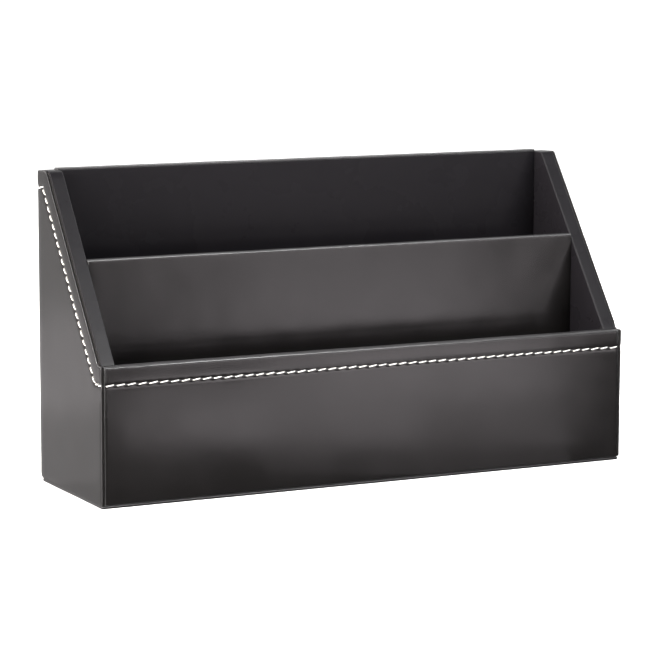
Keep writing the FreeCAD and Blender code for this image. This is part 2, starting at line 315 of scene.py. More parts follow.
def fibrous(name, colour, width, detail, breakup, tones, relief, rough, ior):
    """A fibrous finish: fine noise sets its tone, from dark to pale, and its relief.

    The width of a fibre is in millimetres, and the relief is its strength and its height in millimetres.
    """
    material, tree, output = new_material(name)
    place = add(tree, "ShaderNodeTexCoord").outputs["Object"]
    fibres = add(tree, "ShaderNodeTexNoise", None,
                 {"Vector": place, "Scale": per_metre(width), "Detail": detail,
                  "Roughness": breakup}).outputs["Fac"]
    dark, pale = ((*(c * share for c in colour), 1) for share in tones)
    tone = add(tree, "ShaderNodeMix", {"data_type": "RGBA"},
               {"Factor": fibres, "A": dark, "B": pale}).outputs["Result"]
    bump = add(tree, "ShaderNodeBump", None,
               {"Height": fibres, "Strength": relief[0], "Distance": relief[1] * MM}).outputs["Normal"]
    skin = add(tree, "ShaderNodeBsdfPrincipled", None,
               {"Base Color": tone, "Roughness": rough, "Normal": bump, "IOR": ior}).outputs["BSDF"]
    tree.links.new(skin, output.inputs["Surface"])
    return material


def cut_leather(colour):
    """The cut edge of bonded leather: pressed fibres, matt and dark with a brown cast."""
    return fibrous("Bonded leather, cut edge", colour, width=0.5, detail=5.0, breakup=0.7,
                   tones=(0.6, 1.6), relief=(0.7, 0.15), rough=0.8, ior=1.45)


def dyed_fibreboard(colour):
    """Dyed fibreboard: pressed wood fibre, dark and matt, seen only down the gaps between the leathers."""
    return fibrous("Dyed fibreboard", colour, width=1.2, detail=6.0, breakup=0.7,
                   tones=(0.7, 1.5), relief=(0.5, 0.1), rough=0.85, ior=1.5)


def polyester_thread(colour):
    """Waxed polyester thread: bright twisted plies of fine filament with a soft gloss."""
    return fibrous("Waxed polyester thread", colour, width=0.25, detail=3.0, breakup=0.5,
                   tones=(0.86, 1.0), relief=(0.4, 0.05), rough=0.55, ior=1.53)


def made(name, maker, *settings):
    """The material of this name, made the first time that it is asked for."""
    return bpy.data.materials.get(name) or maker(*settings)


def outer_skin(leather):
    """Skin of the outer leather, smooth enough to shine."""
    rough, shine = 0.225, 0.2
    return made("Bonded leather, outer", bonded_leather, "Bonded leather, outer",
                tuple(leather.outer_colour), leather.grain, rough, shine, tuple(leather.wear_and_highlight_colour))


def lining_skin(leather):
    """Skin of the lining, duller and with a finer grain."""
    rough, shine = 0.275, 0.035
    return made("Bonded leather, lining", bonded_leather, "Bonded leather, lining",
                tuple(leather.lining_colour), leather.grain * 0.9, rough, shine, tuple(leather.wear_and_highlight_colour))


def cut_skin(leather):
    """Cut edge of the outer leather."""
    return made("Bonded leather, cut edge", cut_leather, tuple(leather.cut_colour))


# ---------------------------------------------------------------- shaping


def graded(start, end, step, near=(), offsets=()):
    """Places of cuts: an even step from start to end, with closer ones at offsets from each near place."""
    count = max(1, round((end - start) / step))
    places = [start + (end - start) * i / count for i in range(1, count)]
    close = [n + o for n in near for o in offsets if start < n + o < end]
    places = [p for p in places if all(abs(p - c) > step * 0.35 for c in close)]
    return sorted(places + close)


# Rounding of the outer leather's cut edges, and how far below a rim the fold is painted paler (wear and
# painted highlight), in millimetres.
CUT_EDGE = 0.4
WEAR_AND_HIGHLIGHT_RIM = 1.4
# What the stitches do to the leather, in millimetres: the groove along them, the low swell below the groove,
# which is a share of the hem's, and the pucker at each hole.
GROOVE_WIDTH = 1.1
SWELL_SHARE, SWELL_PLACE, SWELL_WIDTH = 0.3, 3.0, 1.8
PUCKER_DEPTH, PUCKER_SPREAD = 0.22, 0.5
# Places of the cuts beside a stitch line, close together at its groove and further apart on the swollen hem.
SIDE_CUTS = (-3.2, -2.2, -1.5, -0.9, -0.45, 0.0, 0.45, 0.9, 1.5, 2.2, 3.2)
WIDE_CUTS = (-3.4, -2.4, -1.6, -1.0, -0.5, 0.0, 0.5, 1.0, 1.6, 2.4, 3.4, 4.8)
# Steps of the other cuts: on the front and the back the columns are fine enough for the puckers.
WIDE_COLUMNS, WIDE_ROWS = 0.92, 4.0
SIDE_FINE, SIDE_COARSE = 0.8, 2.4


def cut(bm, normal, places, chosen=None):
    """Cut the mesh, or its chosen faces, with parallel planes."""
    faces = [f for f in bm.faces if chosen is None or chosen(f)]
    geom = list({*faces, *(e for f in faces for e in f.edges), *(v for f in faces for v in f.verts)})
    normal = Vector(normal).normalized()
    for place in places:
        geom = bmesh.ops.bisect_plane(bm, geom=geom, dist=1e-4, plane_co=normal * place,
                                      plane_no=normal)["geom"]


def bevel(bm, geom, offset, segments, affect="EDGES"):
    """Round edges or corners."""
    bmesh.ops.bevel(bm, geom=geom, offset=offset, offset_type="OFFSET", segments=segments, profile=0.5,
                    affect=affect, clamp_overlap=True, material=-1)


def flat_face(bm, corners):
    """One face through corners."""
    return bm.faces.new([bm.verts.new(c) for c in corners])


def deepen(bm, way):
    """Pull the only face of a mesh out into a board."""
    grown = bmesh.ops.extrude_face_region(bm, geom=bm.faces[:])["geom"]
    bmesh.ops.translate(bm, vec=way, verts=[g for g in grown if isinstance(g, bmesh.types.BMVert)])
    bmesh.ops.recalc_face_normals(bm, faces=bm.faces[:])


def pull(bm, edges, way):
    """Pull a new face out of each edge."""
    grown = bmesh.ops.extrude_edge_only(bm, edges=edges)["geom"]
    bmesh.ops.translate(bm, vec=way, verts=[g for g in grown if isinstance(g, bmesh.types.BMVert)])


def thicken(bm, thickness):
    """Give a sheet its thickness behind its faces."""
    bmesh.ops.solidify(bm, geom=bm.faces[:], thickness=thickness)
    bmesh.ops.remove_doubles(bm, verts=bm.verts[:], dist=1e-3)
    bmesh.ops.recalc_face_normals(bm, faces=bm.faces[:])


def face_out(bm, way):
    """Make the faces of an open sheet agree, with the one that lies across this way turned along it."""
    bmesh.ops.recalc_face_normals(bm, faces=bm.faces[:])
    if max(bm.faces, key=lambda f: abs(f.normal.dot(way))).normal.dot(way) < 0:
        bmesh.ops.reverse_faces(bm, faces=bm.faces[:])


def fold(bm, radius, segments, thickness):
    """Round a sheet along its folds and give it its thickness."""
    bevel(bm, [e for e in bm.edges if len(e.link_faces) == 2], radius, segments)
    thicken(bm, thickness)


def at_edges(bm, test):
    """Edges whose two ends pass a test."""
    return [e for e in bm.edges if test(e.verts[0].co) and test(e.verts[1].co)]


def wave(point, length, seed):
    """A soft random wave from -1 to 1, of this length in millimetres."""
    return noise.noise(Vector(point) / length + Vector((seed * 7.3, seed * 3.1, seed * 5.7)))


def waves(leather, point, long, short, seed, share=0.5, apart=3):
    """Height of the soft waves in the leather: long ones, and a share of short ones."""
    return leather.waviness * (wave(point, long, seed) + share * wave(point, short, seed + apart))


def shift(bm, moves):
    """Move each vertex by what moves gives for its place."""
    steps = [(v, moves(v.co)) for v in bm.verts]
    for v, step in steps:
        v.co += step


def depth_share(value, inner, outer):
    """0 at a sheet's inner face and 1 at its outer face."""
    return min(1.0, max(0.0, (value - inner) / (outer - inner)))


def lifted(height):
    """How far the outer leather is drawn up off the base sheet, most at its bottom edge."""
    most, reach = 0.25, 1.5
    return max(0.0, 1 - (height - SHEET_Z) / reach) * most


def distance(u, v, path):
    """Distance from a point to a path of straight runs, all in one plane."""
    best = 1e9
    for (a, b), (c, d) in zip(path, path[1:]):
        run = (c - a, d - b)
        share = ((u - a) * run[0] + (v - b) * run[1]) / (run[0] ** 2 + run[1] ** 2)
        share = min(1.0, max(0.0, share))
        best = min(best, math.hypot(u - a - run[0] * share, v - b - run[1] * share))
    return best


def spaced(path, pitch):
    """Middle, direction and step of each stitch along a path, each run divided evenly."""
    found = []
    for start, end in zip(path, path[1:]):
        start, end = Vector(start), Vector(end)
        count = max(1, round((end - start).length / pitch))
        step = (end - start) / count
        found += [(start + step * (i + 0.5), step.normalized(), step.length) for i in range(count)]
    return found


def side_hem():
    """Outline of a side panel's hem, as Y and Z from the back to the front."""
    return [(BACK_Y, SIDE_TOP_Z), (LEATHER_FLAT_Y, SIDE_TOP_Z), (LEATHER_FOOT_Y, RIM_Z), (FRONT_Y, RIM_Z)]


def side_path(stitching):
    """Stitch line of a side panel, as Y and Z from the back to the front."""
    rise, run = SIDE_TOP_Z - RIM_Z, LEATHER_FLAT_Y - LEATHER_FOOT_Y
    inset = stitching.slope_inset * math.hypot(run, rise) / rise
    top, rim = SIDE_TOP_Z - stitching.top_drop, RIM_Z - stitching.rim_drop

    def slope_y(height):
        return LEATHER_FOOT_Y + inset + (height - RIM_Z) * run / rise

    return [(BACK_Y - stitching.end_margin, top), (slope_y(top), top), (slope_y(rim), rim),
            (FRONT_Y + stitching.end_margin, rim)]


def wide_path(stitching, height):
    """Stitch line of the front or the back, as X and Z."""
    reach = SEAM_X - stitching.end_margin
    return [(-reach, height), (reach, height)]


def pulled_in(leather, to_line, to_hem, is_hem):
    """Height of the leather near a stitch line: a groove along it, a swollen hem and a low swell below."""
    height = -leather.stitch_groove * math.exp(-((to_line / GROOVE_WIDTH) ** 2))
    if is_hem:
        height += leather.hem_crown * math.sin(math.pi * to_line / max(0.01, to_line + to_hem)) ** 0.8
    else:
        height += SWELL_SHARE * leather.hem_crown * math.exp(-(((to_line - SWELL_PLACE) / SWELL_WIDTH) ** 2))
    return height


def puckers(path, pitch, space, cell=4.0):
    """A function that gives the dimples that the stitches along a path make at their two ends."""
    near = {}
    for middle, along, step in spaced(path, pitch):
        for end in (-0.5, 0.5):
            u, v = middle + along * (step - space) * end
            for i in (-1, 0, 1):
                for j in (-1, 0, 1):
                    near.setdefault((round(u / cell) + i, round(v / cell) + j), []).append((u, v))

    def depth(u, v):
        found = near.get((round(u / cell), round(v / cell)), ())
        return -PUCKER_DEPTH * sum(math.exp(-((u - a) ** 2 + (v - b) ** 2) / PUCKER_SPREAD) for a, b in found)

    return depth


def mark_wear_and_highlight(bm, crest, wear_and_highlight_share):
    """Mark where the skin is painted paler, as wear and as a painted highlight: sharp folds, and above the
    crest also softer folds and the top.

    How strongly is a share, or a function that gives one for a place.
    """
    sharp_fold, sharp_crest, ease, topmost = 0.28, 0.12, 0.1, 0.8
    layer = bm.verts.layers.float.new("wear_and_highlight_mask")
    turns = [max((e.calc_face_angle(0.0) for e in v.link_edges), default=0.0) for v in bm.verts]
    for v, turn in zip(bm.verts, turns):
        share = wear_and_highlight_share(v.co) if callable(wear_and_highlight_share) else wear_and_highlight_share
        fold_wear_and_highlight = min(1.0, max(0.0, (turn - (sharp_crest if v.co.z > crest else sharp_fold)) / ease))
        # Above the crest the whole top is painted paler: a painted highlight along the rim.
        v[layer] = share * max(fold_wear_and_highlight, topmost if v.co.z > crest + 1 else 0.0)


def new_object(name, data):
    """An object in the scene, at the origin."""
    thing = bpy.data.objects.new(name, data)
    bpy.context.scene.collection.objects.link(thing)
    return thing


def finish_piece(bm, name, materials, nodes, crest=1e9, wear_and_highlight_share=1.0):
    """Turn a millimetre mesh into a finished piece that stands for CAD nodes."""
    bmesh.ops.recalc_face_normals(bm, faces=bm.faces[:])
    if any(not e.is_manifold for e in bm.edges):
        raise RuntimeError(f"{name} is not closed")
    mark_wear_and_highlight(bm, crest, wear_and_highlight_share)
    for face in bm.faces:
        face.smooth = True
    bmesh.ops.scale(bm, vec=(MM, MM, MM), verts=bm.verts[:])
    mesh = bpy.data.meshes.new(name)
    bm.to_mesh(mesh)
    bm.free()
    mesh.set_sharp_from_angle(angle=math.radians(48))
    for material in materials:
        mesh.materials.append(material)
    piece = new_object(name, mesh)
    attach(piece, "root")
    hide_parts(*nodes)


def panel(low, high, edge, step):
    """A glued-down sheet between two corners, with softened edges, and the axis that it is thin along."""
    low, high = Vector(low), Vector(high)
    bm = bmesh.new()
    bmesh.ops.create_cube(bm, size=1.0)
    bmesh.ops.scale(bm, vec=high - low, verts=bm.verts[:])
    bmesh.ops.translate(bm, vec=(low + high) / 2, verts=bm.verts[:])
    bevel(bm, bm.edges[:], edge, 3)
    thin = min(range(3), key=lambda i: high[i] - low[i])
    for axis in range(3):
        if axis != thin:
            normal = [0, 0, 0]
            normal[axis] = 1
            ends = (low[axis] + edge, high[axis] - edge)
            cut(bm, normal, graded(*ends, step, ends, (-0.6, 0.6)))
    return bm, thin


# ---------------------------------------------------------------- pieces


class RACK_OT_side_leather(bpy.types.Operator):
    """Make the outer leather of both side panels, with its stitched hem and cut edges"""

    bl_idname = "rack.side_leather"
    bl_label = "Side Leather"

    def execute(self, context):
        leather, stitching = context.scene.rack_leather, context.scene.rack_stitching
        path, hem = side_path(stitching), side_hem()
        top_line, (turn_y, rim_line) = path[0][1], path[2]
        slope_place = SLOPE_NORMAL.dot(Vector((0, LEATHER_FOOT_Y, RIM_Z)))
        dimple = puckers(path, stitching.slope_pitch, stitching.space)
        deepest = -0.5
        for hand, sign, seed in (("left", -1, 1), ("right", 1, 2)):
            # The corners from the bottom front one upwards and to the back, each with its radius.
            corners = [(FRONT_Y, SHEET_Z, 1.3), (FRONT_Y, RIM_Z, 0.9), (LEATHER_FOOT_Y, RIM_Z, 1.5),
                       (LEATHER_FLAT_Y, SIDE_TOP_Z, 2.6 if sign < 0 else 1.2), (BACK_Y, SIDE_TOP_Z, 0.9),
                       (BACK_Y, SHEET_Z, 3.0)]
            bm = bmesh.new()
            flat_face(bm, [(sign * BOARD_X, y, z) for y, z, radius in corners])
            for vert, (y, z, radius) in zip(bm.verts[:], corners):
                bevel(bm, [vert], radius, 4, "VERTICES")
            deepen(bm, (sign * LEATHER, 0, 0))
            bevel(bm, at_edges(bm, lambda co: abs(co.x) > HALF_WIDTH - TOUCH), leather.edge_radius, 4)
            outward = Vector((sign, 0, 0))
            cut(bm, (0, 0, 1),
                graded(SHEET_Z + 2, SIDE_TOP_Z - 2.6, SIDE_FINE, (top_line, rim_line), SIDE_CUTS))
            cut(bm, (0, 1, 0), graded(FRONT_Y + 1, BACK_Y - 2, SIDE_COARSE))
            cut(bm, SLOPE_NORMAL, [slope_place - stitching.slope_inset + o for o in SIDE_CUTS]
                + [slope_place - o for o in (1.0, 1.6, 2.6, 4.2)],
                lambda f: f.calc_center_median().z > RIM_Z - 16 and f.normal.dot(outward) > 0.9)
            cut(bm, (0, 1, 0), graded(FRONT_Y + 1, turn_y + 2, SIDE_FINE),
                lambda f: abs(f.calc_center_median().z - rim_line) < 3.2 and f.normal.dot(outward) > 0.9
                and f.calc_center_median().y < turn_y + 2)

            def moves(co):
                share = depth_share(abs(co.x), BOARD_X, HALF_WIDTH)
                to_line, to_hem = distance(co.y, co.z, path), distance(co.y, co.z, hem)
                inset = slope_place - SLOPE_NORMAL.dot(co)
                is_hem = co.z > top_line or (co.z > rim_line and inset < stitching.slope_inset)
                height = pulled_in(leather, to_line, to_hem, is_hem) + dimple(co.y, co.z)
                height += waves(leather, co, 34, 13, seed)
                height = share * max(deepest, height)
                # The cut edge of the slope is a little ragged.
                nick = 0.0
                if to_hem < 1.2 and co.y > FRONT_Y + 3:
                    nick = -0.07 * (1 + wave(co, 2.6, seed + 5))
                    nick -= 0.28 * max(0.0, wave(co, 4.5, seed + 9) - 0.35)
                edge = SLOPE_NORMAL if inset < 1.2 and co.z < SIDE_TOP_Z - 1.5 else Vector((0, 0, 1))
                # The leather is pared towards the board along its front and its slope.
                pared = (1 - share) * max(0.0, 1 - (co.y - FRONT_Y) / 1.3) * Vector((0, 1.1, 0))
                if co.z > RIM_Z:
                    ease = min(1.0, (co.z - RIM_Z) / 3)
                    pared *= 1 - ease
                    pared += ease * SLOPE_NORMAL * (0.7 * max(0.0, 1 - inset / 5)
                                                    - (1 - share) * 1.2 * max(0.0, 1 - inset / 1.3))
                return outward * height + edge * nick + pared + Vector((0, 0, lifted(co.z)))

            shift(bm, moves)
            for face in bm.faces:
                middle = face.calc_center_median()
                face.material_index = int(abs(face.normal.x) < 0.45 or abs(middle.x) < BOARD_X + 0.05)
            # Its rounded rim edges are painted paler at full share: wear and a painted highlight.
            finish_piece(bm, f"{hand}_panel_leather", [outer_skin(leather), cut_skin(leather)],
                         [f"{hand}_outer_leather"])
        return {"FINISHED"}


class RACK_OT_side_lining(bpy.types.Operator):
    """Make the lining of both side panels, turned over their slope and top"""

    bl_idname = "rack.side_lining"
    bl_label = "Side Lining"

    def execute(self, context):
        leather = context.scene.rack_leather
        back = LINING_HIGH.y
        # The turned strip stops half a millimetre short of the outer leather.
        end_x = BOARD_X - 0.5
        foot = Vector((0, LINING_FOOT_Y, RIM_Z))
        for hand, sign, seed in (("left", -1, 11), ("right", 1, 12)):
            bm = bmesh.new()
            corners = [(LINED_FRONT_Y, SHEET_Z), (LINED_FRONT_Y, RIM_Z), (LINING_FOOT_Y, RIM_Z),
                       (LINING_FLAT_Y, SIDE_TOP_Z), (back, SIDE_TOP_Z), (back, SHEET_Z)]
            flat_face(bm, [(sign * INNER_X, y, z) for y, z in corners])
            bm.verts.ensure_lookup_table()
            bevel(bm, [bm.verts[3]], 1.8 if sign < 0 else 0.8, 5, "VERTICES")
            turned = [e for e in at_edges(bm, lambda co: co.z > RIM_Z - TOUCH)
                      if max(v.co.z for v in e.verts) > RIM_Z + TOUCH]
            pull(bm, turned, (sign * (end_x - INNER_X), 0, 0))
            face_out(bm, Vector((-sign, 0, 0)))
            bevel(bm, [e for e in bm.edges if len(e.link_faces) == 2
                       and abs(e.verts[0].co.x - e.verts[1].co.x) < TOUCH], 0.6, 4)
            thicken(bm, LINING)
            bevel(bm, at_edges(bm, lambda co: abs(co.x) > end_x - TOUCH and
                               (co.z > SIDE_TOP_Z - 0.3 or SLOPE_NORMAL.dot(co - foot) > -0.3)), 0.3, 3)
            cut(bm, (0, 0, 1), graded(SHEET_Z + 1, SIDE_TOP_Z - 1.5, 2.2))
            cut(bm, (0, 1, 0), graded(LINED_FRONT_Y + 1, back - 1, 3.0))
            cut(bm, (sign, 0, 0), (INNER_X + 0.7, INNER_X + 1.1, end_x - 0.8, end_x - 0.4),
                lambda f: f.calc_center_median().z > RIM_Z)

            def moves(co):
                swell = waves(leather, co, 30, 9, seed)
                over = depth_share(abs(co.x), INNER_X, INNER_X + 1.0)
                edge = Vector((0, 0, 1)) if co.y > LINING_FLAT_Y else SLOPE_NORMAL
                if co.z < RIM_Z - 3 or abs(co.x) > BOARD_X - 0.2:
                    over = 0.0
                return Vector((-sign, 0, 0)) * max(0.0, swell) * (1 - over) * 0.8 + edge * over * 0.5 * swell

            shift(bm, moves)
            # Painted highlight: the left lining's inner fold is painted paler (0.7) where the light catches
            # it; other folds a little, for wear and highlight.
            finish_piece(bm, f"{hand}_panel_lining", [lining_skin(leather)],
                         [f"{hand}_inner_lining"],
                         wear_and_highlight_share=lambda co: 0.7 if -INNER_X - 1 < co.x < 0 else 0.25)
        return {"FINISHED"}


class RACK_OT_front_leather(bpy.types.Operator):
    """Make the front leather, folded over the rim, with its stitched hem"""

    bl_idname = "rack.front_leather"
    bl_label = "Front Leather"

    def execute(self, context):
        leather, stitching = context.scene.rack_leather, context.scene.rack_stitching
        line = RIM_Z - stitching.rim_drop
        dimple = puckers(wide_path(stitching, line), stitching.rim_pitch, stitching.space)
        bm = bmesh.new()
        # The cut ends stay clear of the seam.
        reach = SEAM_X - 0.3
        foot, rim, turned = [bm.verts.new((-reach, y, z)) for y, z in
                             ((FRONT_Y, SHEET_Z), (FRONT_Y, RIM_Z), (LINED_FRONT_Y, RIM_Z))]
        pull(bm, [bm.edges.new((foot, rim)), bm.edges.new((rim, turned))], (2 * reach, 0, 0))
        face_out(bm, Vector((0, -1, 0)))
        fold(bm, leather.fold_radius, 6, LEATHER)
        radius = leather.fold_radius
        ends = at_edges(bm, lambda co: abs(co.x) > reach - TOUCH and
                        (co.y < FRONT_Y + TOUCH or co.z > RIM_Z - TOUCH or
                         (co.y < FRONT_Y + radius and co.z > RIM_Z - radius - TOUCH and
                          math.hypot(co.y - FRONT_Y - radius, co.z - RIM_Z + radius) > radius - 0.1)))
        bevel(bm, ends, 0.45, 3)
        bevel(bm, at_edges(bm, lambda co: co.y > LINED_FRONT_Y - TOUCH), CUT_EDGE, 3)
        bevel(bm, at_edges(bm, lambda co: co.z < SHEET_Z + TOUCH and co.y < FRONT_Y + TOUCH), CUT_EDGE, 3)
        cut(bm, (1, 0, 0), graded(-reach + 0.6, reach - 0.6, WIDE_COLUMNS))
        for levels in (graded(SHEET_Z + 0.8, RIM_Z - 1.6, WIDE_ROWS, (line,), (*WIDE_CUTS, 5.8, 6.4)),
                       (SHEET_Z + 0.6, SHEET_Z + 1.2)):
            cut(bm, (0, 0, 1), levels, lambda f: f.calc_center_median().y < FRONT_Y + 0.2)

        def moves(co):
            share = depth_share(-co.y, -FRONT_Y - LEATHER, -FRONT_Y)
            height = pulled_in(leather, abs(co.z - line), RIM_Z - co.z, co.z > line) + dimple(co.x, co.z)
            height += waves(leather, co, 38, 14, 21)
            over = depth_share(co.z, RIM_Z - LEATHER, RIM_Z)
            ripple = 0.10 * wave(co, 16, 27) + 0.07 * wave(co, 5, 28) - 0.1
            return Vector((0, -share * height * (1 - 0.6 * over), over * ripple + lifted(co.z)))

        shift(bm, moves)
        # The rim above the crest is painted paler: a painted highlight, with some wear.
        finish_piece(bm, "front_panel_leather", [outer_skin(leather)],
                     ["front_outer_leather"], RIM_Z - WEAR_AND_HIGHLIGHT_RIM)
        return {"FINISHED"}


class RACK_OT_back_leather(bpy.types.Operator):
    """Make the back leather, folded over the back panel between the sides"""

    bl_idname = "rack.back_leather"
    bl_label = "Back Leather"

    def execute(self, context):
        leather, stitching = context.scene.rack_leather, context.scene.rack_stitching
        line = SIDE_TOP_Z - stitching.top_drop
        dimple = puckers(wide_path(stitching, line), stitching.rim_pitch, stitching.space)
        # Height of the shoulders beside the turned part, just below where its fold starts.
        notch = BACK_TOP_Z - leather.fold_radius - 0.08
        bm = bmesh.new()
        flat_face(bm, [(x, BACK_Y, z) for x, z in
                       ((-SEAM_X, SHEET_Z), (SEAM_X, SHEET_Z), (SEAM_X, notch), (INNER_X, notch),
                        (INNER_X, BACK_TOP_Z), (-INNER_X, BACK_TOP_Z), (-INNER_X, notch), (-SEAM_X, notch))])
        pull(bm, at_edges(bm, lambda co: co.z > BACK_TOP_Z - TOUCH), (0, LINED_BACK_Y - BACK_Y, 0))
        face_out(bm, Vector((0, 1, 0)))
        fold(bm, leather.fold_radius, 6, LEATHER)
        bevel(bm, at_edges(bm, lambda co: co.y > BACK_Y - TOUCH and
                           (abs(co.x) > SEAM_X - TOUCH or co.z < SHEET_Z + TOUCH or
                            (co.z > notch - TOUCH and co.z < notch + TOUCH))), CUT_EDGE, 3)
        bevel(bm, at_edges(bm, lambda co: co.y < LINED_BACK_Y + TOUCH), CUT_EDGE, 3)
        cut(bm, (1, 0, 0), graded(-SEAM_X + 0.6, SEAM_X - 0.6, WIDE_COLUMNS))
        cut(bm, (0, 0, 1), graded(SHEET_Z + 0.8, notch - 0.6, WIDE_ROWS, (line,), (*WIDE_CUTS, 6.0)),
            lambda f: f.calc_center_median().y > BACK_Y - 0.2)

        def moves(co):
            share = depth_share(co.y, BACK_Y - LEATHER, BACK_Y)
            height = pulled_in(leather, abs(co.z - line), BACK_TOP_Z - co.z, co.z > line) + dimple(co.x, co.z)
            height += waves(leather, co, 38, 14, 31)
            over = depth_share(co.z, BACK_TOP_Z - LEATHER, BACK_TOP_Z)
            ripple = 0.10 * wave(co, 18, 37) + 0.05 * wave(co, 6, 38) - 0.1
            return Vector((0, share * height * (1 - over), over * ripple))

        shift(bm, moves)
        # The top above the crest is painted paler: a painted highlight, with some wear.
        finish_piece(bm, "back_panel_leather", [outer_skin(leather)],
                     ["back_outer_leather"], BACK_TOP_Z - WEAR_AND_HIGHLIGHT_RIM)
        return {"FINISHED"}


class RACK_OT_divider_leather(bpy.types.Operator):
    """Make the leather folded over the divider"""

    bl_idname = "rack.divider_leather"
    bl_label = "Divider Leather"

    def execute(self, context):
        leather = context.scene.rack_leather
        low, high, crest = DIVIDER_LOW, DIVIDER_HIGH, DIVIDER_HIGH.z - 1.2
        bm = bmesh.new()
        verts = [bm.verts.new((low.x, y, z)) for y, z in
                 ((low.y, low.z), (low.y, high.z), (high.y, high.z), (high.y, low.z))]
        pull(bm, [bm.edges.new(pair) for pair in zip(verts, verts[1:])], (high.x - low.x, 0, 0))
        face_out(bm, Vector((0, 0, 1)))
        fold(bm, radius=1.1, segments=5, thickness=LINING)
        bevel(bm, at_edges(bm, lambda co: abs(co.x) > high.x - TOUCH and
                           (co.y < low.y + TOUCH or co.y > high.y - TOUCH or co.z > high.z - TOUCH)), 0.3, 3)
        cut(bm, (1, 0, 0), graded(low.x + 0.6, high.x - 0.6, 2.4))
        cut(bm, (0, 0, 1), graded(low.z + 0.8, high.z - 1.5, 3.0, (high.z,), (-1.8, -3.0)))

        def moves(co):
            middle = (low.y + high.y) / 2
            swell = waves(leather, co, 36, 12, 41, share=0.6)
            out = -1 if co.y < middle else 1
            over = depth_share(co.z, crest, high.z)
            end = min(1.0, max(0.0, (high.x - abs(co.x)) / 6))
            ripple = 0.12 * wave(co, 22, 47) + 0.05 * wave(co, 6, 48) - 0.08
            return Vector((0, out * swell * (1 - over) * end, over * ripple))

        shift(bm, moves)
        # The top above the crest is painted paler: a painted highlight, with some wear.
        finish_piece(bm, "divider_cover", [outer_skin(leather)], ["divider_leather"], crest)
        return {"FINISHED"}


class RACK_OT_pocket_linings(bpy.types.Operator):
    """Make the linings of the front wall, the back wall and the two pocket floors"""

    bl_idname = "rack.pocket_linings"
    bl_label = "Pocket Linings"

    def execute(self, context):
        leather = context.scene.rack_leather
        for seed, (node, name) in enumerate((("front_inner_lining", "front_wall_lining"),
                                             ("back_inner_lining", "back_wall_lining"),
                                             ("front_pocket_floor", "front_floor_lining"),
                                             ("rear_pocket_floor", "rear_floor_lining"))):
            low, high = node_box(node)
            bm, thin = panel(low, high, 0.2, 3.2)
            facing = -1 if node == "back_inner_lining" else 1
            skin = low[thin] if facing < 0 else high[thin]
            core = high[thin] if facing < 0 else low[thin]

            def moves(co):
                share = depth_share(co[thin] * facing, core * facing, skin * facing)
                swell = waves(leather, co, 40, 12, 51 + seed, apart=10)
                to_rims = [abs(co[i] - rim) for i in range(3) if i != thin for rim in (low[i], high[i])]
                inside = min(1.0, min(to_rims) / 5)
                step = Vector((0, 0, 0))
                step[thin] = facing * share * swell * inside
                return step

            shift(bm, moves)
            finish_piece(bm, name, [lining_skin(leather)], [node])
        return {"FINISHED"}


class RACK_OT_base_sheet(bpy.types.Operator):
    """Make the sheet under the rack, with rounded corners"""

    bl_idname = "rack.base_sheet"
    bl_label = "Base Sheet"

    def execute(self, context):
        leather = context.scene.rack_leather
        low, high = node_box("base_sheet")
        bm = bmesh.new()
        flat_face(bm, [(x, y, low.z) for x, y in
                       ((low.x, low.y), (high.x, low.y), (high.x, high.y), (low.x, high.y))])
        for vert in bm.verts[:]:
            bevel(bm, [vert], 3.0 if vert.co.y > 0 else 2.2 if vert.co.x > 0 else 0.8, 5, "VERTICES")
        deepen(bm, (0, 0, high.z - low.z))
        bevel(bm, at_edges(bm, lambda co: co.z < low.z + TOUCH), 0.2, 3)
        bevel(bm, at_edges(bm, lambda co: co.z > high.z - TOUCH), CUT_EDGE, 4)
        cut(bm, (1, 0, 0), graded(low.x + 2, high.x - 2, 4.0))
        cut(bm, (0, 1, 0), graded(low.y + 2, high.y - 2, 6.0))

        def moves(co):
            rim = depth_share(max(abs(co.x) - high.x + 2, abs(co.y) - high.y + 2), 0.5, 2.0)
            inward = Vector((-math.copysign(abs(co.x) > high.x - 1, co.x),
                             -math.copysign(abs(co.y) > high.y - 1, co.y), 0))
            return inward * rim * 0.05 * (1 + wave(co, 9, 71))

        shift(bm, moves)
        # Its rounded edges are painted paler: mostly a painted highlight standing in for the floor's
        # reflection, with some wear.
        finish_piece(bm, "base_cover", [outer_skin(leather)], ["base_sheet"], wear_and_highlight_share=0.8)
        return {"FINISHED"}


